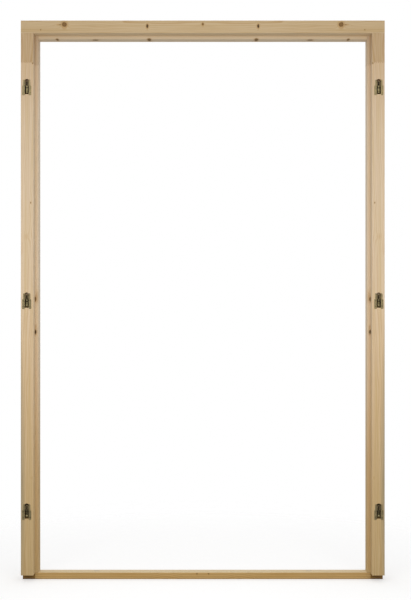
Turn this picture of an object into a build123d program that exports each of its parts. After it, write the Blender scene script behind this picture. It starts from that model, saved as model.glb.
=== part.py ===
from build123d import *
import os

# Rebated softwood frame for a pair of doors, with six snap-in hinge sockets let into the jambs.
# Millimetres. X runs across the frame, Y from its front (the hinge side) to its back, Z up.
# The origin is on the floor, at the middle of the frame's width and depth.

# Frame
frame_width = 1354.0
frame_height = 2090.0
frame_depth = 92.0

# Timber section, the same for both jambs and the head
face_width = 47.0           # flat front face
rebate_width = 12.0         # how far the stop stands in from the front face's edge
rebate_depth = 46.0         # front face to the stop
arris_radius = 1.5          # planed corner of every long edge

# Threshold, a full-width board behind the rebate that the jambs stand on
threshold_thickness = 25.0
threshold_edge_radius = 3.0

# Where the hinge sockets sit
upper_hinge_drop = 248.0    # top of the frame to the middle of the upper socket
lower_hinge_height = 262.0  # floor to the middle of the lower socket
middle_hinge_drop = 5.0     # halfway between those two to the middle of the middle socket
hinge_setback = 22.0        # outer face of the jamb to the middle of a socket

# Socket bracket, one stamped sheet with a hat section
sheet = 1.5
channel_width = 15.0        # clear inside
channel_depth = 22.5        # timber face to the inside of the channel's floor
channel_top = 23.0          # above the socket's middle
channel_bottom = -25.0
flange_top = 27.5
flange_step = 6.0           # where the wide lower flange becomes the narrow upper one
flange_bottom = -30.0
lower_flange_width = 33.5   # over both flanges
upper_flange_width = 27.0
flange_corner = 2.5
bend_radius = 1.2

# Mortise for the bracket
mortise_clearance = 0.3
mortise_crown_drop = 1.3    # channel's top to the centre of the round end left by the cutter
mortise_bottom = -26.0

# Hook block, the cast piece in the upper half of the channel
block_clearance = 0.1
block_front = 4.0           # below the timber face
block_bottom = 6.0
block_top = 24.0
block_crown_radius = 7.2
block_edge_radius = 1.5
hook_slot_width = 5.0
hook_slot_depth = 14.0      # from the block's front
hook_pin_diameter = 5.0
hook_pin_depth = 11.0
hook_pin_height = 14.5

# Latch, the sprung lever in the lower half of the channel
latch_thickness = 6.0       # along X
latch_front = 5.5
latch_back = 11.5
latch_bottom = -24.0
nose_front = 3.0
nose_bevel = 3.5
nose_height = 7.0
nose_slope = 3.0
boss_radius = 4.5
heel_back = 8.0             # in front of the pin, so the heel leaves the block as the latch swings in
heel_clearance = 0.05       # between the heel and the hook block, which is the latch's stop
latch_pin_diameter = 4.0
latch_pin_depth = 8.5
latch_pin_height = 0.0
running_clearance = 0.05
pin_clearance = 0.02

# Coil spring between the channel's floor and the latch
spring_diameter = 7.0       # over the wire
spring_wire = 0.8
spring_height = -12.0
spring_turns = 5
spring_end_gap = 0.05
stud_diameter = 4.2
stud_length = 1.5
dimple_length = 1.0

# Screws
bracket_screw = {"head": 6.0, "shank": 3.5, "length": 28.0}
bracket_screw_heights = (-21.5, 0.5)
corner_screw = {"head": 11.0, "shank": 6.0, "length": 100.0}
threshold_screw = {"head": 10.0, "shank": 5.0, "length": 75.0}
screw_clearance = 0.05
countersink_depth = 1.0     # corner and threshold heads below the timber
recess_share = 0.55         # width of the driver's cross, as a share of the head
recess_arm_share = 0.16
recess_depth_share = 0.3

# Sizes that follow from those above
half_width = frame_width / 2
front = -frame_depth / 2
back = frame_depth / 2
stop_front = front + rebate_depth
member_thickness = face_width + rebate_width
soffit = frame_height - face_width
stop_soffit = frame_height - member_thickness
jamb_face_edge = half_width - face_width
jamb_stop_edge = half_width - member_thickness
upper_hinge_height = frame_height - upper_hinge_drop
hinge_heights = {
    "upper": upper_hinge_height,
    "middle": (upper_hinge_height + lower_hinge_height) / 2 - middle_hinge_drop,
    "lower": lower_hinge_height,
}
hinge_sides = {"left": -(half_width - hinge_setback), "right": half_width - hinge_setback}
half_channel = channel_width / 2
wall_outside = half_channel + sheet
channel_floor_outside = channel_depth + sheet
flange_middle = (wall_outside + lower_flange_width / 2) / 2
corner_screw_setback = half_width - face_width / 2
corner_screw_depths = (front + rebate_depth / 2, back - (frame_depth - rebate_depth) / 2)
threshold_screw_setbacks = (half_width - face_width / 3, half_width - member_thickness * 0.8)
threshold_screw_depth = (stop_front + back) / 2


def rounded_outline(plane, points, radius_at):
    """A face through the points, with the corners that radius_at names by their number rounded."""
    face = make_face(Polyline(*points, close=True))
    for number, radius in radius_at.items():
        corner = face.vertices().sort_by_distance((*points[number], 0))[0]
        face = fillet(corner, radius)
    return plane * face


def block(x_range, y_range, z_range):
    """A box from its limits along X, Y and Z."""
    size = [high - low for low, high in (x_range, y_range, z_range)]
    middle = [(high + low) / 2 for low, high in (x_range, y_range, z_range)]
    return Pos(*middle) * Box(*size)


def rod_along_x(x_range, y, z, radius):
    """A round bar along X."""
    length = x_range[1] - x_range[0]
    middle = (x_range[0] + x_range[1]) / 2
    return Pos(middle, y, z) * Rot(0, 90, 0) * Cylinder(radius, length)


def rod_along_y(x, y_range, z, radius):
    """A round bar along Y."""
    length = y_range[1] - y_range[0]
    middle = (y_range[0] + y_range[1]) / 2
    return Pos(x, middle, z) * Rot(90, 0, 0) * Cylinder(radius, length)


def screw(sizes, clearance=0.0):
    """A countersunk screw with its head flush with Z 0 and its point down. With a clearance, the hole for it."""
    head = sizes["head"] / 2 + clearance
    shank = sizes["shank"] / 2 + clearance
    point = sizes["length"] + clearance
    shoulder = sizes["length"] - sizes["shank"]
    outline = Polyline((0, 0), (head, 0), (shank, shank - head), (shank, -shoulder), (0, -point), close=True)
    body = revolve(Plane.XZ * make_face(outline), Axis.Z)
    if clearance:
        return body
    arm = sizes["head"] * recess_arm_share / 2
    reach = sizes["head"] * recess_share / 2
    depth = sizes["head"] * recess_depth_share
    for turn in (45, 135):
        body -= Rot(0, 0, turn) * block((-reach, reach), (-arm, arm), (-depth, depth))
    return body


def bracket_screw_places():
    """Places of a socket's four screws, from the middle of the socket at the timber face."""
    for side in (-1, 1):
        for height in bracket_screw_heights:
            yield Pos(side * flange_middle, 0, height) * Rot(90, 0, 0)


def corner_screw_places():
    """Places of the four screws through the head into the tops of the jambs."""
    for x in (-corner_screw_setback, corner_screw_setback):
        for y in corner_screw_depths:
            yield Pos(x, y, frame_height - countersink_depth)


def threshold_screw_places():
    """Places of the four screws up through the threshold into the feet of the jambs."""
    for side in (-1, 1):
        for setback in threshold_screw_setbacks:
            yield Pos(side * setback, threshold_screw_depth, countersink_depth) * Rot(180, 0, 0)


def countersunk_hole(sizes):
    """A screw's hole, opened above the head as far as the timber's surface."""
    head = sizes["head"] / 2 + screw_clearance
    above = Pos(0, 0, countersink_depth) * Cylinder(head, 2 * countersink_depth)
    return screw(sizes, screw_clearance) + above


def flanges(thickness, growth=0.0):
    """Both flanges of a socket bracket as plates going back from the timber face, or the recesses for them."""
    wide = lower_flange_width / 2 + growth
    narrow = upper_flange_width / 2 + growth
    low = flange_bottom - growth
    step = flange_step + growth
    high = flange_top + growth
    plates = []
    for side in (-1, 1):
        across = [half_channel, wide, wide, narrow, narrow, half_channel]
        up = [low, low, step, step, high, high]
        points = [(side * x, z) for x, z in zip(across, up)]
        rounded = {number: flange_corner + growth for number in (1, 2, 4)}
        plates.append(extrude(rounded_outline(Plane.XZ, points, rounded), thickness, dir=(0, 1, 0)))
    return plates


def socket_mortise():
    """What a socket takes out of the jamb, with the socket's middle at the origin and the timber face at Y 0."""
    radius = wall_outside + mortise_clearance
    depth = channel_floor_outside + mortise_clearance
    crown = channel_top - mortise_crown_drop
    cut = block((-radius, radius), (-1, depth), (mortise_bottom, crown))
    cut += Pos(0, (depth - 1) / 2, crown) * Rot(90, 0, 0) * Cylinder(radius, depth + 1)
    for recess in flanges(sheet, mortise_clearance):
        cut += recess
    for place in bracket_screw_places():
        cut += place * screw(bracket_screw, screw_clearance)
    return cut


def socket_bracket():
    """The stamped bracket: a channel with a flange each side, its screw holes and its two pairs of pin holes."""
    body = block((-wall_outside, wall_outside), (0, channel_floor_outside), (channel_bottom, channel_top))
    body = fillet(body.edges().filter_by(Axis.Z).group_by(Axis.Y)[-1], bend_radius + sheet)
    for plate in flanges(sheet):
        body += plate
    inside = block((-half_channel, half_channel), (-1, channel_depth), (flange_bottom - 1, flange_top + 1))
    body -= fillet(inside.edges().filter_by(Axis.Z).group_by(Axis.Y)[-1], bend_radius)
    front_edges = body.edges().filter_by(Axis.Z).group_by(Axis.Y)[0]
    body = fillet(front_edges.filter_by(lambda edge: abs(edge.center().X) < half_channel + 0.01), bend_radius)
    for place in bracket_screw_places():
        body -= place * screw(bracket_screw, screw_clearance)
    dimple = (channel_depth - dimple_length, channel_depth + sheet / 2)
    body += rod_along_y(0, dimple, spring_height, stud_diameter / 2)
    across = (-wall_outside - 1, wall_outside + 1)
    body -= rod_along_x(across, hook_pin_depth, hook_pin_height, hook_pin_diameter / 2 + pin_clearance)
    return body - rod_along_x(across, latch_pin_depth, latch_pin_height, latch_pin_diameter / 2 + pin_clearance)


def hook_block():
    """The cast block that a door hinge's hook drops into, with its slot and the cross pin's hole."""
    half = half_channel - block_clearance
    rear = channel_depth - block_clearance
    points = [(-half, block_bottom), (half, block_bottom), (half, block_top), (-half, block_top)]
    crown = {2: block_crown_radius, 3: block_crown_radius}
    outline = rounded_outline(Plane.XZ.offset(-block_front), points, crown)
    body = extrude(outline, rear - block_front, dir=(0, 1, 0))
    front_edges = body.faces().sort_by(Axis.Y)[0].edges().filter_by(lambda edge: edge.center().Z > block_bottom)
    body = fillet(front_edges, block_edge_radius)
    body = fillet(body.edges().filter_by(Axis.Z).group_by(Axis.Y)[-1], bend_radius)
    body -= block(
        (-hook_slot_width / 2, hook_slot_width / 2),
        (block_front - 1, block_front + hook_slot_depth),
        (block_bottom - 1, block_top - 2 * block_edge_radius),
    )
    across = (-half - 1, half + 1)
    return body - rod_along_x(across, hook_pin_depth, hook_pin_height, hook_pin_diameter / 2 + pin_clearance)


def latch():
    """The sprung lever: a boss on its pin, a heel, an arm down the channel, a bevelled nose and the spring's stud."""
    half = latch_thickness / 2
    arm = [
        (latch_front, latch_pin_height),
        (latch_front, latch_bottom + nose_height + nose_slope),
        (nose_front, latch_bottom + nose_height),
        (nose_front, latch_bottom + nose_bevel),
        (nose_front + nose_bevel, latch_bottom),
        (latch_back, latch_bottom),
        (latch_back, latch_pin_height),
    ]
    heel_top = block_bottom - heel_clearance
    body = extrude(make_face(Plane.YZ * Polyline(*arm, close=True)), half, both=True)
    body += rod_along_x((-half, half), latch_pin_depth, latch_pin_height, boss_radius)
    body += block((-half, half), (latch_pin_depth - boss_radius, heel_back), (latch_pin_height, heel_top))
    body += rod_along_y(0, (latch_back, latch_back + stud_length), spring_height, stud_diameter / 2)
    bore = latch_pin_diameter / 2 + running_clearance
    return body - rod_along_x((-half - 1, half + 1), latch_pin_depth, latch_pin_height, bore)


def cross_pin(diameter, y, z):
    """A plain pin across the channel, flush with the outside of its walls."""
    return rod_along_x((-wall_outside, wall_outside), y, z, diameter / 2)


def latch_spring():
    """The coil between the latch's back and the channel's floor."""
    radius = (spring_diameter - spring_wire) / 2
    start = latch_back + spring_end_gap + spring_wire / 2
    length = channel_depth - spring_end_gap - spring_wire / 2 - start
    coil = Helix(length / spring_turns, length, radius)
    wire = sweep(Plane(coil @ 0, z_dir=coil % 0) * Circle(spring_wire / 2), path=coil)
    return Pos(0, start, spring_height) * Rot(-90, 0, 0) * wire


def bracket_screws():
    """A socket's four countersunk screws, as separate solids."""
    return [place * screw(bracket_screw) for place in bracket_screw_places()]


def jamb(side):
    """One upright, from the threshold to the underside of the head. side is -1 for the left and 1 for the right."""
    points = [
        (side * half_width, front),
        (side * jamb_face_edge, front),
        (side * jamb_face_edge, stop_front),
        (side * jamb_stop_edge, stop_front),
        (side * jamb_stop_edge, back),
        (side * half_width, back),
    ]
    rounded = {number: arris_radius for number in (0, 1, 3, 4, 5)}
    section = rounded_outline(Plane.XY.offset(threshold_thickness), points, rounded)
    body = extrude(section, soffit - threshold_thickness, dir=(0, 0, 1))
    for height in hinge_heights.values():
        body -= Pos(side * (half_width - hinge_setback), front, height) * socket_mortise()
    for place in corner_screw_places():
        body -= place * countersunk_hole(corner_screw)
    for place in threshold_screw_places():
        body -= place * countersunk_hole(threshold_screw)
    return body


def head():
    """The top member. It lies over both jambs, and its stop is cut back to run between theirs."""
    points = [
        (front, frame_height),
        (front, soffit),
        (stop_front, soffit),
        (stop_front, stop_soffit),
        (back, stop_soffit),
        (back, frame_height),
    ]
    rounded = {number: arris_radius for number in (0, 1, 3, 4, 5)}
    body = extrude(rounded_outline(Plane.YZ, points, rounded), half_width, both=True)
    for side in (-1, 1):
        over_jamb = sorted((side * jamb_stop_edge, side * (half_width + 1)))
        body -= block(over_jamb, (stop_front - 1, back + 1), (stop_soffit - 1, soffit))
    for place in corner_screw_places():
        body -= place * countersunk_hole(corner_screw)
    return body


def threshold():
    """The board under both jambs, set back to the plane of the stops."""
    points = [(stop_front, 0), (stop_front, threshold_thickness), (back, threshold_thickness), (back, 0)]
    rounded = {0: arris_radius, 1: threshold_edge_radius, 2: threshold_edge_radius, 3: arris_radius}
    body = extrude(rounded_outline(Plane.YZ, points, rounded), half_width, both=True)
    for place in threshold_screw_places():
        body -= place * countersunk_hole(threshold_screw)
    return body


def save(name, solids):
    """Writes one node."""
    solids = solids if isinstance(solids, list) else [solids]
    pieces = [piece for solid in solids for piece in solid.solids()]
    export_step(Compound(children=pieces), f"parts/{name}.step")


os.makedirs("parts", exist_ok=True)
save("head", head())
save("left_jamb", jamb(-1))
save("right_jamb", jamb(1))
save("threshold", threshold())
save("corner_screws", [place * screw(corner_screw) for place in corner_screw_places()])
save("threshold_screws", [place * screw(threshold_screw) for place in threshold_screw_places()])

socket_pieces = {
    "socket_bracket": socket_bracket(),
    "hook_block": hook_block(),
    "hook_pin": cross_pin(hook_pin_diameter, hook_pin_depth, hook_pin_height),
    "latch": latch(),
    "latch_pin": cross_pin(latch_pin_diameter, latch_pin_depth, latch_pin_height),
    "latch_spring": latch_spring(),
    "bracket_screws": bracket_screws(),
}
for level, height in hinge_heights.items():
    for side, x in hinge_sides.items():
        place = Pos(x, front, height)
        for piece, solids in socket_pieces.items():
            solids = solids if isinstance(solids, list) else [solids]
            save(f"{level}_{side}_{piece}", [place * solid for solid in solids])
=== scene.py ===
import math

import bpy
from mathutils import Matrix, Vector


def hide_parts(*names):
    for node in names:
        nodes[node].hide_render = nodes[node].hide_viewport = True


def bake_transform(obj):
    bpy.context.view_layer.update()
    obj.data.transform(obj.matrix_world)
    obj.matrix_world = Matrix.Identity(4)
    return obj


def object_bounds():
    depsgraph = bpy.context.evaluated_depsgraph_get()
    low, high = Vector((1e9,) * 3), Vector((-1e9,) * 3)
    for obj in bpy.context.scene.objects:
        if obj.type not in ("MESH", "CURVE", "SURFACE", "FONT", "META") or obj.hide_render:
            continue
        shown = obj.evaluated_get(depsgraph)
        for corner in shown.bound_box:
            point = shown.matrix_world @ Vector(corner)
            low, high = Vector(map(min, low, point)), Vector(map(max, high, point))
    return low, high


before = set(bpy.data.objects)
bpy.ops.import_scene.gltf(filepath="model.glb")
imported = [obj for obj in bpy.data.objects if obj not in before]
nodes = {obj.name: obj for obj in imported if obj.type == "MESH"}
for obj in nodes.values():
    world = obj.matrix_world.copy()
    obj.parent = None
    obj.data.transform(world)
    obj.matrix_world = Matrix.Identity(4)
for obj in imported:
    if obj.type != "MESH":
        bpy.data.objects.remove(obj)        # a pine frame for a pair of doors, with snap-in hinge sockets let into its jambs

cadLow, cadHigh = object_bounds()
frameHeight = cadHigh.z * 1000    # in millimetres


# sRGB hex to the linear values that the nodes work in
def linearColour(hexValue):
    channels = [int(hexValue[i:i + 2], 16) / 255 for i in (1, 3, 5)]
    return [c / 12.92 if c <= 0.04045 else ((c + 0.055) / 1.055) ** 2.4 for c in channels] + [1.0]


# one node with its settings; an input is a value, or another node's output to link from
def add(tree, kind, inputs=None, stops=None, **settings):
    item = tree.nodes.new(kind)
    for name, value in settings.items():
        setattr(item, name, value)
    if stops:
        elements = item.color_ramp.elements
        while len(elements) < len(stops):
            elements.new(1.0)
        for element, (position, colour) in zip(elements, stops):
            element.position = position
            element.color = linearColour(colour) if isinstance(colour, str) else [colour] * 3 + [1.0]
    for key, value in (inputs or {}).items():
        if isinstance(value, bpy.types.NodeSocket):
            tree.links.new(value, item.inputs[key])
        elif value is not None:
            item.inputs[key].default_value = value
    return item


def newMaterial(name):
    material = bpy.data.materials.new(name)
    material.use_nodes = True
    tree = material.node_tree
    tree.nodes.clear()
    surface = add(tree, "ShaderNodeBsdfPrincipled")
    output = add(tree, "ShaderNodeOutputMaterial", {"Surface": surface.outputs[0]})
    surface.location, output.location = (0, 0), (300, 0)
    return material, tree, surface


def millimetres(tree):
    place = add(tree, "ShaderNodeTexCoord").outputs["Object"]
    return add(tree, "ShaderNodeVectorMath", {0: place, "Scale": 1000.0}, operation="SCALE").outputs[0]


def dress(names, material):
    for name in names:
        slots = nodes[name].data.materials
        if not slots:
            slots.append(material)
        for index in range(len(slots)):
            slots[index] = material


# square on to the frame, at half its height
cameraSettings = {"distance": 4.15, "aside": 0.0102, "height": 1.05, "focalLength": 66.93, "sensor": 36.0}
lens = bpy.data.cameras.new("studioCamera")
lens.lens = cameraSettings["focalLength"]
lens.sensor_width = cameraSettings["sensor"]
lens.clip_end = 200
camera = bpy.data.objects.new("studioCamera", lens)
camera.location = (cameraSettings["aside"], cadLow.y - cameraSettings["distance"], cameraSettings["height"])
camera.rotation_euler = (math.radians(90), 0, 0)
bpy.context.scene.collection.objects.link(camera)
bpy.context.scene.camera = camera
print("camera set")


# Rings are measured from a pith line along the grain, so the same tree shows on every face
# and on the end grain. Lengths are in millimetres, in the frame's own axes.
jambPine = {
    "grain": "z", "pith": (704, 61), "ringWidth": 3.3, "wander": 7.0, "seed": 3.0,
    "early": "#E4CDAF", "late": "#D0AF84", "streak": "#DABF93",
    "tone": [    # painted shade: a tint against height, darker and yellower towards the foot and a touch darker at the top
        (0, "#EBE2C2"), (330, "#F0E7CB"), (640, "#F8F0DD"), (900, "#FDF8EE"),
        (1200, "#FFFFFF"), (1700, "#FFFFFF"), (1900, "#FBF6F0"),
    ],
    "knots": [    # place, and size along x, y and z
        {"at": (633, -46, 1931), "size": (1.7, 40, 2.4)},
        {"at": (631, 0, 1053), "size": (4, 14, 8)},
        {"at": (625, 0, 1062), "size": (9, 14, 30), "ghost": 1.15},
        {"at": (631, 0, 930), "size": (4.6, 14, 8), "dead": True},
        {"at": (630, 0, 948), "size": (6, 14, 16), "ghost": 1.15},
        {"at": (640, -46, 1412), "size": (1.6, 30, 2.6)},
        {"at": (677, 14, 1518), "size": (30, 7, 11)},
        {"at": (677, 9, 1540), "size": (20, 9, 26), "ghost": 1.15},
        {"at": (677, -12, 706), "size": (30, 4, 6), "dead": True},
        {"at": (655, 46, 1286), "size": (8, 50, 12)},
        {"at": (638, 46, 388), "size": (4, 50, 6), "dead": True},
    ],
    "fingerJoint": {    # teeth cut to one depth, and another board above them
        "rootHeight": 1931, "halfPitch": 3.8, "steepness": 2.2, "pithShift": (31.0, -12.0),
        "tint": (0.83, 0.79, 0.70), "glue": "#9A6E3C", "glueWidth": 0.7,
    },
    # a darker, greyer colour along the outer corner, low on the jamb
    "outerCornerGreying": {"at": (680, -46, 420), "size": (17, 50, 480), "share": 0.6, "colour": "#978E78"},
    # painted light: the rebate side and stop by the opening are made paler, higher up the jamb
    "pale": {"across": 0, "from": 634, "to": 622, "share": 0.28, "above": (420, 900)},
}
headPine = {
    "grain": "x", "pith": (62, 2112), "ringWidth": 2.9, "wander": 6.0, "seed": 11.0,
    "early": "#D7BD94", "late": "#C29E6E", "streak": "#C9AA79",
    # painted light: the head's stop and its underside are made paler
    "pale": {"across": 2, "from": 2045, "to": 2039, "share": 0.34, "above": (0, 1)},
    "knots": [
        {"at": (515, -46, 2075), "size": (8, 45, 8)},
        {"at": (531, -46, 2074), "size": (13, 20, 2.4), "ghost": 0.6},
        {"at": (206.5, -46, 2069), "size": (3.6, 60, 6.6), "dead": True},
        {"at": (0, -46, 2076), "size": (3.4, 60, 4.4)},
        {"at": (603, -46, 2055), "size": (1.5, 20, 1.9)},
        {"at": (548, 2, 2031), "size": (4, 20, 1.8)},
        {"at": (405, 14, 2031), "size": (9, 7, 5)},
        {"at": (202, 2, 2031), "size": (5.5, 26, 2.4)},
        {"at": (352, 46, 2064), "size": (13, 26, 8)},
        {"at": (430, 10, 2090), "size": (14, 8, 20)},
    ],
}
thresholdTimber = {
    "grain": "x", "pith": (120, -70), "ringWidth": 5.2, "wander": 3.0, "seed": 23.0,
    "early": "#D4AF70", "late": "#A37232", "streak": "#BE9350",
    # painted light: the upward-facing top is blended towards a pale colour
    "paintedLightTop": {"colour": "#E9D9B4", "share": 0.62},
    # painted shadow under the jambs' overhanging feet, deeper higher up the threshold's front
    "paintedShadowUnderJambs": {"from": 629, "to": 633, "tint": (0.44, 0.34, 0.13),
                   "shadowHeights": (6.0, 20.0), "shadowDepths": (0.8, 1.25)},
    # painted shade: a band darkened along the floor at the threshold's foot
    "paintedShadeFoot": {"height": 5, "share": 0.55, "tint": (0.5, 0.47, 0.42)},
    "knots": [
        {"at": (22, 0, 20), "size": (2.2, 12, 2.2)},
        {"at": (402, 30, 25), "size": (10, 8, 12)},
    ],
    "humps": {"at": 139, "width": 36, "height": 10},
}


# what the three timbers share; lengths in millimetres, sizes of a knot as 1 at its rim
softwood = {
    "bendLength": 55.0, "faintestYear": 0.35,
    "lateWood": (0.45, 0.9), "winter": (0.95, 1.0),    # shares of a year's ring
    "fibre": (0.9, 0.016), "streaks": (0.11, 0.0022),    # waves per mm, across and along
    "raggedScale": 0.22, "raggedEdge": 0.22, "knotBulge": 9.0, "bulgeFall": -0.35,
    # the first colour below is the pale colour that the painted light on the rebates and stops blends towards
    "paintedRevealLight": "#F4E8D4", "knotHalo": "#B8893F", "haloShare": 0.62, "deadKnot": "#3A2609",
    "heart": [
        (0.0, "#7C5A2C"), (0.18, "#93703B"), (0.34, "#836133"), (0.5, "#97723E"), (0.66, "#856031"),
        (0.84, "#6E4D26"), (0.95, "#553A1A"), (1.0, "#7A5829"),
    ],
    "endGrain": (0.78, 0.72, 0.64), "earlyRough": 0.62, "lateRough": 0.5,
    "relief": 0.00012, "farAway": 9.0,
}


# distance from a spot in the timber, in the spot's own sizes
def reachFrom(tree, place, spot):
    offset = add(tree, "ShaderNodeVectorMath", {0: place, 1: spot["at"]}, operation="SUBTRACT")
    offset = add(tree, "ShaderNodeVectorMath", {0: offset.outputs[0], 1: [1 / s for s in spot["size"]]},
                 operation="MULTIPLY")
    return add(tree, "ShaderNodeVectorMath", {0: offset.outputs[0]}, operation="LENGTH").outputs["Value"]


# Planed softwood, unfinished: pale early wood with thin warm late-wood lines, which stand a hair
# proud after planing, a dry open sheen from the cut fibres, and tight red-brown knots that the
# grain flows round.
def planedSoftwood(name, look):
    material, tree, surface = newMaterial(name)
    parts = add(tree, "ShaderNodeSeparateXYZ", {0: millimetres(tree)})
    x, y, z = parts.outputs
    x = add(tree, "ShaderNodeMath", {0: x}, operation="ABSOLUTE").outputs[0]    # left and right are twins
    place = add(tree, "ShaderNodeCombineXYZ", {0: x, 1: y, 2: z}).outputs[0]
    upright = look["grain"] == "z"

    # a finger joint: the piece beyond it is another board, so its rings start from another pith
    beyond = None
    if "fingerJoint" in look:
        joint = look["fingerJoint"]
        tooth = add(tree, "ShaderNodeMath", {0: x, 1: joint["halfPitch"]}, operation="PINGPONG")
        edge = add(tree, "ShaderNodeMath",
                   {0: tooth.outputs[0], 1: joint["steepness"], 2: joint["rootHeight"]},
                   operation="MULTIPLY_ADD")
        beyond = add(tree, "ShaderNodeMath", {0: z, 1: edge.outputs[0]}, operation="GREATER_THAN").outputs[0]
        glueGap = add(tree, "ShaderNodeMath", {0: z, 1: edge.outputs[0]}, operation="SUBTRACT")
        glueGap = add(tree, "ShaderNodeMath", {0: glueGap.outputs[0]}, operation="ABSOLUTE")
        glueLine = add(tree, "ShaderNodeMapRange",    # glue squeezed to a thin line
                       {0: glueGap.outputs[0], 1: 0.0, 2: joint["glueWidth"], 3: 1.0, 4: 0.0}).outputs[0]

    # nearest knot, and nearest knot of the dead kind: distances in knot sizes, 1 at the rim
    nearest = nearestDead = softwood["farAway"]
    for knot in look["knots"]:
        reach = reachFrom(tree, place, knot)
        if "ghost" in knot:    # a knot just under the surface only bends and tints the grain
            reach = add(tree, "ShaderNodeMath", {0: reach, 1: knot["ghost"]}, operation="ADD").outputs[0]
        nearest = add(tree, "ShaderNodeMath", {0: nearest, 1: reach}, operation="MINIMUM").outputs[0]
        if "dead" in knot:
            nearestDead = add(tree, "ShaderNodeMath", {0: nearestDead, 1: reach},
                              operation="MINIMUM").outputs[0]
    ragged = add(tree, "ShaderNodeTexNoise",
                 {"Vector": place, "Scale": softwood["raggedScale"], "Detail": 3.0, "Roughness": 0.6})
    edgeWander = softwood["raggedEdge"]
    ragged = add(tree, "ShaderNodeMapRange",
                 {0: ragged.outputs[0], 1: 0.2, 2: 0.8, 3: -edgeWander, 4: edgeWander})
    knotReach = add(tree, "ShaderNodeMath", {0: nearest, 1: ragged.outputs[0]}, operation="ADD").outputs[0]

    # rings round the pith, which wander slowly along the board
    along = (1, 1, 0.10) if upright else (0.10, 1, 1)
    slow = add(tree, "ShaderNodeVectorMath", {0: place, 1: [a / softwood["bendLength"] for a in along]},
               operation="MULTIPLY")
    slow = add(tree, "ShaderNodeVectorMath", {0: slow.outputs[0], 1: (look["seed"],) * 3}, operation="ADD")
    bend = add(tree, "ShaderNodeTexNoise",
               {"Vector": slow.outputs[0], "Scale": 1.0, "Detail": 2.5, "Roughness": 0.5})
    bend = add(tree, "ShaderNodeMapRange",
               {0: bend.outputs[0], 1: 0.25, 2: 0.75, 3: -look["wander"], 4: look["wander"]}).outputs[0]
    pithA, pithB = look["pith"]
    first = add(tree, "ShaderNodeMath", {0: x if upright else y, 1: pithA}, operation="SUBTRACT").outputs[0]
    second = add(tree, "ShaderNodeMath", {0: y if upright else z, 1: pithB}, operation="SUBTRACT").outputs[0]
    if beyond is not None:
        shiftA, shiftB = joint["pithShift"]
        first = add(tree, "ShaderNodeMath", {0: beyond, 1: shiftA, 2: first},
                    operation="MULTIPLY_ADD").outputs[0]
        second = add(tree, "ShaderNodeMath", {0: beyond, 1: shiftB, 2: second},
                     operation="MULTIPLY_ADD").outputs[0]
    if "humps" in look:    # the board's lower edge cuts a ring that rises in two arches
        humps = look["humps"]
        fromHump = add(tree, "ShaderNodeMath", {0: x, 1: humps["at"]}, operation="SUBTRACT")
        fromHump = add(tree, "ShaderNodeMath", {0: fromHump.outputs[0], 1: humps["width"]},
                       operation="DIVIDE").outputs[0]
        square = add(tree, "ShaderNodeMath", {0: fromHump, 1: fromHump}, operation="MULTIPLY")
        falling = add(tree, "ShaderNodeMath", {0: square.outputs[0], 1: -1.0}, operation="MULTIPLY")
        arch = add(tree, "ShaderNodeMath", {0: falling.outputs[0]}, operation="EXPONENT")
        second = add(tree, "ShaderNodeMath", {0: arch.outputs[0], 1: -humps["height"], 2: second},
                     operation="MULTIPLY_ADD").outputs[0]
    flat = add(tree, "ShaderNodeCombineXYZ", {0: first, 1: second})
    radius = add(tree, "ShaderNodeVectorMath", {0: flat.outputs[0]}, operation="LENGTH").outputs["Value"]
    radius = add(tree, "ShaderNodeMath", {0: radius, 1: bend}, operation="ADD").outputs[0]
    square = add(tree, "ShaderNodeMath", {0: nearest, 1: nearest}, operation="MULTIPLY")
    falling = add(tree, "ShaderNodeMath", {0: square.outputs[0], 1: softwood["bulgeFall"]},
                  operation="MULTIPLY")
    bulge = add(tree, "ShaderNodeMath", {0: falling.outputs[0]}, operation="EXPONENT")
    radius = add(tree, "ShaderNodeMath", {0: bulge.outputs[0], 1: softwood["knotBulge"], 2: radius},
                 operation="MULTIPLY_ADD").outputs[0]
    count = add(tree, "ShaderNodeMath", {0: radius, 1: look["ringWidth"]}, operation="DIVIDE").outputs[0]
    year = add(tree, "ShaderNodeMath", {0: count}, operation="FRACT").outputs[0]
    lateFrom, lateTo = softwood["lateWood"]
    lateWood = add(tree, "ShaderNodeMapRange", {0: year, 1: lateFrom, 2: lateTo, 3: 0.0, 4: 1.0},
                   interpolation_type="SMOOTHSTEP").outputs[0]
    winterFrom, winterTo = softwood["winter"]
    winter = add(tree, "ShaderNodeMapRange", {0: year, 1: winterFrom, 2: winterTo, 3: 1.0, 4: 0.0}).outputs[0]
    lateWood = add(tree, "ShaderNodeMath", {0: lateWood, 1: winter}, operation="MULTIPLY").outputs[0]

    # some years are strong and some are faint
    years = add(tree, "ShaderNodeMath", {0: count}, operation="FLOOR")
    strength = add(tree, "ShaderNodeTexWhiteNoise", {"W": years.outputs[0]}, noise_dimensions="1D")
    strength = add(tree, "ShaderNodeMapRange",
                   {0: strength.outputs[0], 1: 0.0, 2: 1.0, 3: softwood["faintestYear"], 4: 1.0}).outputs[0]
    lateWood = add(tree, "ShaderNodeMath", {0: lateWood, 1: strength}, operation="MULTIPLY").outputs[0]

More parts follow.
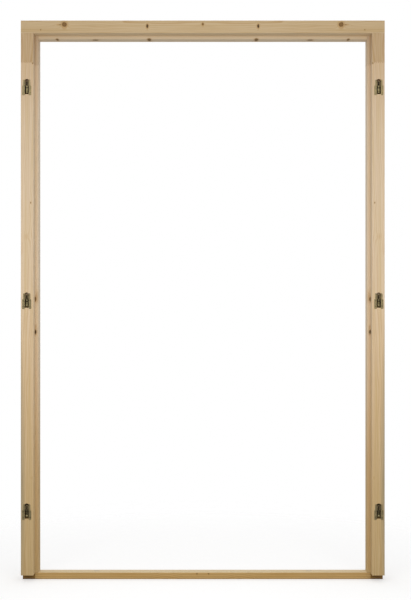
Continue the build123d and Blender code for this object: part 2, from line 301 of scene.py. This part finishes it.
    # fibres: streaks about 1 mm wide and 60 mm long, drawn wider than real fibres so that they show
    wide, long = softwood["fibre"]
    fibreScale = (wide, wide, long) if upright else (long, wide, wide)
    fibrePlace = add(tree, "ShaderNodeVectorMath", {0: place, 1: fibreScale}, operation="MULTIPLY")
    fibre = add(tree, "ShaderNodeTexNoise", {"Vector": fibrePlace.outputs[0], "Scale": 1.0, "Detail": 4.0,
                                             "Roughness": 0.65}).outputs[0]
    wide, long = softwood["streaks"]
    streakScale = (wide, wide, long) if upright else (long, wide, wide)
    streakPlace = add(tree, "ShaderNodeVectorMath", {0: place, 1: streakScale}, operation="MULTIPLY")
    streak = add(tree, "ShaderNodeTexNoise", {"Vector": streakPlace.outputs[0], "Scale": 1.0, "Detail": 3.0,
                                              "Roughness": 0.5}).outputs[0]
    streak = add(tree, "ShaderNodeMapRange", {0: streak, 1: 0.42, 2: 0.68, 3: 0.0, 4: 0.8}).outputs[0]

    early, late, streakColour = (linearColour(look[part]) for part in ("early", "late", "streak"))
    colour = add(tree, "ShaderNodeMix", {0: lateWood, 6: early, 7: late}, data_type="RGBA").outputs[2]
    colour = add(tree, "ShaderNodeMix", {0: streak, 6: colour, 7: streakColour},
                 data_type="RGBA").outputs[2]
    fleck = add(tree, "ShaderNodeMapRange", {0: fibre, 1: 0.3, 2: 0.7, 3: 0.93, 4: 1.05}).outputs[0]
    colour = add(tree, "ShaderNodeVectorMath", {0: colour, "Scale": fleck}, operation="SCALE").outputs[0]
    if beyond is not None:
        deeper = add(tree, "ShaderNodeVectorMath", {0: colour, 1: joint["tint"]},
                     operation="MULTIPLY").outputs[0]
        colour = add(tree, "ShaderNodeMix", {0: beyond, 6: colour, 7: deeper}, data_type="RGBA").outputs[2]
        colour = add(tree, "ShaderNodeMix", {0: glueLine, 6: colour, 7: linearColour(joint["glue"])},
                     data_type="RGBA").outputs[2]

    if "tone" in look:    # painted shade: the jamb is tinted darker and yellower towards its foot, and a touch darker near its top
        share = add(tree, "ShaderNodeMath", {0: z, 1: frameHeight}, operation="DIVIDE").outputs[0]
        tone = add(tree, "ShaderNodeValToRGB", {0: share},
                   stops=[(h / frameHeight, c) for h, c in look["tone"]]).outputs[0]
        colour = add(tree, "ShaderNodeVectorMath", {0: colour, 1: tone}, operation="MULTIPLY").outputs[0]
    if "pale" in look:    # painted light: the rebate side, the stop and its inner face, towards the opening, are made paler
        pale = look["pale"]
        share = add(tree, "ShaderNodeMapRange", {0: (x, y, z)[pale["across"]], 1: pale["from"], 2: pale["to"],
                                                 3: 0.0, 4: pale["share"]}).outputs[0]
        higher = add(tree, "ShaderNodeMapRange", {0: z, 1: pale["above"][0], 2: pale["above"][1]}).outputs[0]
        share = add(tree, "ShaderNodeMath", {0: share, 1: higher}, operation="MULTIPLY").outputs[0]
        colour = add(tree, "ShaderNodeMix", {0: share, 6: colour, 7: linearColour(softwood["paintedRevealLight"])},
                     data_type="RGBA").outputs[2]
    if "outerCornerGreying" in look:    # darker and greyer along the outer corner, low on the jamb
        outerCornerGreying = look["outerCornerGreying"]
        reach = add(tree, "ShaderNodeMath", {0: streak, 1: -0.6, 2: reachFrom(tree, place, outerCornerGreying)},
                    operation="MULTIPLY_ADD").outputs[0]
        share = add(tree, "ShaderNodeMapRange",
                    {0: reach, 1: 0.2, 2: 1.1, 3: outerCornerGreying["share"], 4: 0.0}).outputs[0]
        colour = add(tree, "ShaderNodeMix", {0: share, 6: colour, 7: linearColour(outerCornerGreying["colour"])},
                     data_type="RGBA").outputs[2]

    # knots: red-brown heart with its own rings, dark bark rim, resin-stained wood around
    halo = add(tree, "ShaderNodeMapRange",
               {0: knotReach, 1: 0.9, 2: 2.4, 3: softwood["haloShare"], 4: 0.0},
               interpolation_type="SMOOTHSTEP").outputs[0]
    colour = add(tree, "ShaderNodeMix", {0: halo, 6: colour, 7: linearColour(softwood["knotHalo"])},
                 data_type="RGBA").outputs[2]
    heart = add(tree, "ShaderNodeValToRGB", {0: knotReach}, stops=softwood["heart"]).outputs[0]
    inside = add(tree, "ShaderNodeMapRange", {0: knotReach, 1: 0.96, 2: 1.12, 3: 1.0, 4: 0.0}).outputs[0]
    colour = add(tree, "ShaderNodeMix", {0: inside, 6: colour, 7: heart}, data_type="RGBA").outputs[2]
    dead = add(tree, "ShaderNodeMapRange",    # a dead knot is black-brown
               {0: nearestDead, 1: 0.75, 2: 1.1, 3: 0.85, 4: 0.0}).outputs[0]
    colour = add(tree, "ShaderNodeMix", {0: dead, 6: colour, 7: linearColour(softwood["deadKnot"])},
                 data_type="RGBA").outputs[2]

    normal = add(tree, "ShaderNodeNewGeometry").outputs["Normal"]
    if "paintedLightTop" in look:    # painted light: the upward-facing top is made paler, in flecks along the fibres
        upward = add(tree, "ShaderNodeSeparateXYZ", {0: normal}).outputs[2]
        topLight = add(tree, "ShaderNodeMapRange", {0: upward, 1: 0.45, 2: 0.9, 3: 0.0, 4: 1.0}).outputs[0]
        topLight = add(tree, "ShaderNodeMath", {0: fleck, 1: topLight},
                   operation="MULTIPLY", use_clamp=True).outputs[0]
        litTopColour = look["paintedLightTop"]
        litTopColour = add(tree, "ShaderNodeMix",
                   {0: litTopColour["share"], 6: colour, 7: linearColour(litTopColour["colour"])},
                   data_type="RGBA").outputs[2]
        colour = add(tree, "ShaderNodeMix", {0: topLight, 6: colour, 7: litTopColour}, data_type="RGBA").outputs[2]

    # painted shadow: the threshold's ends under the jambs' overhanging feet are darkened, deepest just under
    # the feet; and painted shade darkens a band along the floor
    if "paintedShadowUnderJambs" in look:
        underJambs = look["paintedShadowUnderJambs"]
        share = add(tree, "ShaderNodeMapRange",
                    {0: x, 1: underJambs["from"], 2: underJambs["to"], 3: 0.0, 4: 1.0}).outputs[0]
        (shadowFromHeight, shadowToHeight), (lighterShadow, deeperShadow) = underJambs["shadowHeights"], underJambs["shadowDepths"]
        shadowDepths = add(tree, "ShaderNodeMapRange",
                    {0: z, 1: shadowFromHeight, 2: shadowToHeight, 3: lighterShadow, 4: deeperShadow}).outputs[0]
        share = add(tree, "ShaderNodeMath", {0: share, 1: shadowDepths}, operation="MULTIPLY").outputs[0]
        shadowedColour = add(tree, "ShaderNodeVectorMath", {0: colour, 1: underJambs["tint"]},
                      operation="MULTIPLY").outputs[0]
        colour = add(tree, "ShaderNodeMix", {0: share, 6: colour, 7: shadowedColour}, data_type="RGBA",
                     clamp_factor=False).outputs[2]
        # painted shade along the floor at the threshold's foot
        foot = look["paintedShadeFoot"]
        share = add(tree, "ShaderNodeMapRange",
                    {0: z, 1: 0.0, 2: foot["height"], 3: foot["share"], 4: 0.0}).outputs[0]
        footShade = add(tree, "ShaderNodeVectorMath", {0: colour, 1: foot["tint"]},
                   operation="MULTIPLY").outputs[0]
        colour = add(tree, "ShaderNodeMix", {0: share, 6: colour, 7: footShade}, data_type="RGBA").outputs[2]

    # end grain drinks in dust and light, so it's darker
    facing = add(tree, "ShaderNodeVectorMath", {0: normal, 1: (0, 0, 1) if upright else (1, 0, 0)},
                 operation="DOT_PRODUCT").outputs["Value"]
    facing = add(tree, "ShaderNodeMath", {0: facing}, operation="ABSOLUTE").outputs[0]
    endGrain = add(tree, "ShaderNodeMapRange", {0: facing, 1: 0.75, 2: 0.95, 3: 0.0, 4: 1.0}).outputs[0]
    darker = add(tree, "ShaderNodeVectorMath", {0: colour, 1: softwood["endGrain"]},
                 operation="MULTIPLY").outputs[0]
    colour = add(tree, "ShaderNodeMix", {0: endGrain, 6: colour, 7: darker}, data_type="RGBA").outputs[2]
    tree.links.new(colour, surface.inputs["Base Color"])

    # sheen: late wood and knots are denser and shine more than the open early wood
    earlyRough, lateRough = softwood["earlyRough"], softwood["lateRough"]
    rough = add(tree, "ShaderNodeMapRange",
                {0: lateWood, 1: 0.0, 2: 1.0, 3: earlyRough, 4: lateRough}).outputs[0]
    rough = add(tree, "ShaderNodeMath", {0: inside, 1: -0.12, 2: rough}, operation="MULTIPLY_ADD").outputs[0]
    rough = add(tree, "ShaderNodeMath", {0: endGrain, 1: 0.2, 2: rough}, operation="MULTIPLY_ADD").outputs[0]
    tree.links.new(rough, surface.inputs["Roughness"])

    # relief: fibres and late wood stand up, and there is a groove round each knot
    height = add(tree, "ShaderNodeMath", {0: fibre, 1: 0.5}, operation="MULTIPLY").outputs[0]
    height = add(tree, "ShaderNodeMath", {0: lateWood, 1: 0.35, 2: height},
                 operation="MULTIPLY_ADD").outputs[0]
    rimIn = add(tree, "ShaderNodeMapRange", {0: knotReach, 1: 0.9, 2: 1.0, 3: 0.0, 4: 1.0},
                interpolation_type="SMOOTHSTEP").outputs[0]
    rimOut = add(tree, "ShaderNodeMapRange", {0: knotReach, 1: 1.0, 2: 1.1, 3: 1.0, 4: 0.0},
                 interpolation_type="SMOOTHSTEP").outputs[0]
    rim = add(tree, "ShaderNodeMath", {0: rimIn, 1: rimOut}, operation="MULTIPLY").outputs[0]
    height = add(tree, "ShaderNodeMath", {0: rim, 1: -1.6, 2: height}, operation="MULTIPLY_ADD").outputs[0]
    bump = add(tree, "ShaderNodeBump", {"Height": height, "Distance": softwood["relief"], "Strength": 0.8})
    tree.links.new(bump.outputs[0], surface.inputs["Normal"])
    return material


dress(["left_jamb", "right_jamb"], planedSoftwood("planedPineJamb", jambPine))
dress(["head"], planedSoftwood("planedPineHead", headPine))
dress(["threshold"], planedSoftwood("oiledThresholdTimber", thresholdTimber))
print("timber dressed")


# base colours, a mottle for the skin in mm, draw lines or grit in waves per mm, and relief in metres

# yellow zinc plating on pressed sheet: satin, with faint lines along the channel
zincSheet = {"plate": "#C2AE7E", "patch": "#A89A76", "patchSize": 9, "rough": (0.42, 0.6),
             "lines": (14, 14, 0.5), "relief": 0.00002, "metallic": 0.85}
# cast steel, tumbled and plated: dull, with a fine even grit
castBlock = {"plate": "#9C8A66", "patch": "#7E6E52", "patchSize": 5, "rough": (0.5, 0.72),
             "lines": (2.2, 2.2, 2.2), "relief": 0.00009, "metallic": 0.75}
# bright zinc on a stamped lever: its faces catch the light
brightLatch = {"plate": "#A99B74", "patch": "#93875F", "patchSize": 6, "rough": (0.2, 0.34),
               "lines": (10, 10, 0.6), "relief": 0.00002, "metallic": 1.0}
# turned steel, bare: dark and smooth, with tool marks round it
turnedPin = {"plate": "#6B6151", "patch": "#544B3F", "patchSize": 3, "rough": (0.2, 0.36),
             "lines": (9, 0.5, 0.5), "relief": 0.00001, "metallic": 1.0}
# drawn spring wire: grey, with a narrow highlight
springWire = {"plate": "#8F8B82", "patch": "#767168", "patchSize": 2, "rough": (0.28, 0.42),
              "lines": (3, 0.6, 3), "relief": 0.00001, "metallic": 1.0}
# yellow zinc on a cold-formed screw: warmer and glossier than the sheet
platedScrew = {"plate": "#BCA977", "patch": "#A09270", "patchSize": 2.5, "rough": (0.26, 0.44),
               "lines": (4, 4, 4), "relief": 0.00001, "metallic": 1.0}


# Steel with a thin plated or cast skin: the plating's tone drifts in patches, and fine draw lines
# or grit break the gloss.
def platedSteel(name, look):
    material, tree, surface = newMaterial(name)
    place = millimetres(tree)
    patches = add(tree, "ShaderNodeTexNoise",
                  {"Vector": place, "Scale": 1 / look["patchSize"], "Detail": 3.0}).outputs[0]
    share = add(tree, "ShaderNodeMapRange", {0: patches, 1: 0.35, 2: 0.65, 3: 0.0, 4: 1.0}).outputs[0]
    plate, patch = linearColour(look["plate"]), linearColour(look["patch"])
    colour = add(tree, "ShaderNodeMix", {0: share, 6: plate, 7: patch}, data_type="RGBA").outputs[2]
    tree.links.new(colour, surface.inputs["Base Color"])
    linePlace = add(tree, "ShaderNodeVectorMath", {0: place, 1: look["lines"]},
                    operation="MULTIPLY").outputs[0]
    lines = add(tree, "ShaderNodeTexNoise",
                {"Vector": linePlace, "Scale": 1.0, "Detail": 3.0, "Roughness": 0.6}).outputs[0]
    low, high = look["rough"]
    rough = add(tree, "ShaderNodeMapRange", {0: lines, 1: 0.3, 2: 0.7, 3: low, 4: high}).outputs[0]
    tree.links.new(rough, surface.inputs["Roughness"])
    bump = add(tree, "ShaderNodeBump", {"Height": lines, "Distance": look["relief"], "Strength": 0.7})
    tree.links.new(bump.outputs[0], surface.inputs["Normal"])
    surface.inputs["Metallic"].default_value = look["metallic"]
    return material


finishes = {
    "socket_bracket": platedSteel("zincPlatedSheet", zincSheet),
    "hook_block": platedSteel("castSteelBlock", castBlock),
    "hook_pin": platedSteel("turnedSteelPin", turnedPin),
    "latch_pin": platedSteel("turnedSteelLatchPin", turnedPin),
    "latch_spring": platedSteel("drawnSpringWire", springWire),
    "bracket_screws": platedSteel("yellowZincScrew", platedScrew),
    "corner_screws": platedSteel("yellowZincFrameScrew", platedScrew),
    "threshold_screws": platedSteel("yellowZincThresholdScrew", platedScrew),
    "latch": platedSteel("brightZincLatch", brightLatch),
}
for ending, material in finishes.items():
    dress([name for name in nodes if name.endswith(ending)], material)
print("metal dressed")


# Each coil spring is copied from the model into an object of its own, with its placing baked into the mesh,
# and the model's spring is hidden.
for name in [name for name in nodes if name.endswith("_latch_spring")]:
    socket = name[:-len("_latch_spring")]
    coil = bpy.data.objects.new(socket + "_coil", nodes[name].data.copy())
    bpy.context.scene.collection.objects.link(coil)
    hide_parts(name)
    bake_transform(coil)


# white surround, pale floor, one long soft light in front and a soft panel behind
studio = {
    "surround": 1.0, "domeAbove": 0.56, "domeBelow": 0.36, "mirrorAbove": 1.15, "mirrorBelow": 0.05,
    "keyPower": 19.6, "keySize": (2.6, 0.5), "keyAt": (0, -1.75, 1.28),
    "backPower": 13.0, "backSize": (2.6, 2.2), "backAt": (0, 2.4, 1.15),
    "floorRadius": 30.0, "floorFade": (0.68, 1.7), "floorLift": 0.52,
}

world = bpy.data.worlds.new("studioSurround")
bpy.context.scene.world = world
world.use_nodes = True
worldTree = world.node_tree
worldTree.nodes.clear()
heading = add(worldTree, "ShaderNodeTexCoord").outputs["Generated"]
upward = add(worldTree, "ShaderNodeSeparateXYZ", {0: heading}).outputs[2]
dome = add(worldTree, "ShaderNodeMapRange",
           {0: upward, 1: -0.35, 2: 0.45, 3: studio["domeBelow"], 4: studio["domeAbove"]},
           interpolation_type="SMOOTHSTEP").outputs[0]
seen = add(worldTree, "ShaderNodeLightPath").outputs["Is Camera Ray"]
mirror = add(worldTree, "ShaderNodeMapRange",
             {0: upward, 1: -0.2, 2: 0.3, 3: studio["mirrorBelow"], 4: studio["mirrorAbove"]}).outputs[0]
glossy = add(worldTree, "ShaderNodeLightPath").outputs["Is Glossy Ray"]
dome = add(worldTree, "ShaderNodeMix", {0: glossy, 2: dome, 3: mirror}, data_type="FLOAT").outputs[0]
level = add(worldTree, "ShaderNodeMix", {0: seen, 2: dome, 3: studio["surround"]},
            data_type="FLOAT").outputs[0]
surround = add(worldTree, "ShaderNodeBackground", {"Color": (1, 1, 1, 1), "Strength": level})
add(worldTree, "ShaderNodeOutputWorld", {"Surface": surround.outputs[0]})


def softLight(name, power, size, at, turn):
    light = bpy.data.lights.new(name, "AREA")
    light.shape = "RECTANGLE"
    light.size, light.size_y = size
    light.energy = power
    lamp = bpy.data.objects.new(name, light)
    lamp.location = at
    lamp.rotation_euler = turn
    lamp.visible_camera = False
    lamp.visible_glossy = False
    bpy.context.scene.collection.objects.link(lamp)


softLight("keyStrip", studio["keyPower"], studio["keySize"], studio["keyAt"], (math.radians(90), 0, 0))
softLight("backPanel", studio["backPower"], studio["backSize"], studio["backAt"], (math.radians(-90), 0, 0))

# the floor fades out into the surround, and is lifted to white only where the camera sees it
floorMesh = bpy.data.meshes.new("studioFloor")
ring = [(studio["floorRadius"] * math.cos(a), studio["floorRadius"] * math.sin(a), -0.0004)
        for a in (2 * math.pi * i / 96 for i in range(96))]
floorMesh.from_pydata(ring, [], [list(range(96))])
floor = bpy.data.objects.new("studioFloor", floorMesh)
bpy.context.scene.collection.objects.link(floor)
floorMaterial, floorTree, floorSurface = newMaterial("paleStudioFloor")
floorSurface.inputs["Base Color"].default_value = (0.62, 0.62, 0.62, 1)
floorSurface.inputs["Roughness"].default_value = 0.9
floorSurface.inputs["Specular IOR Level"].default_value = 0.0
away = add(floorTree, "ShaderNodeTexCoord").outputs["Object"]
away = add(floorTree, "ShaderNodeVectorMath", {0: away}, operation="LENGTH").outputs["Value"]
nearEdge, farEdge = studio["floorFade"]
fade = add(floorTree, "ShaderNodeMapRange", {0: away, 1: nearEdge, 2: farEdge, 3: 0.0, 4: 1.0},
           interpolation_type="SMOOTHSTEP").outputs[0]
seen = add(floorTree, "ShaderNodeLightPath").outputs["Is Camera Ray"]
lift = add(floorTree, "ShaderNodeMath", {0: seen, 1: studio["floorLift"]}, operation="MULTIPLY").outputs[0]
lift = add(floorTree, "ShaderNodeEmission", {"Color": (1, 1, 1, 1), "Strength": lift})
lit = add(floorTree, "ShaderNodeAddShader", {0: floorSurface.outputs[0], 1: lift.outputs[0]})
clear = add(floorTree, "ShaderNodeBsdfTransparent")
blend = add(floorTree, "ShaderNodeMixShader", {0: fade, 1: lit.outputs[0], 2: clear.outputs[0]})
floorOutput = next(n for n in floorTree.nodes if n.type == "OUTPUT_MATERIAL")
floorTree.links.new(blend.outputs[0], floorOutput.inputs["Surface"])
floorMesh.materials.append(floorMaterial)
floor.visible_glossy = False

bpy.context.scene.view_settings.view_transform = "Standard"
print("studio set")
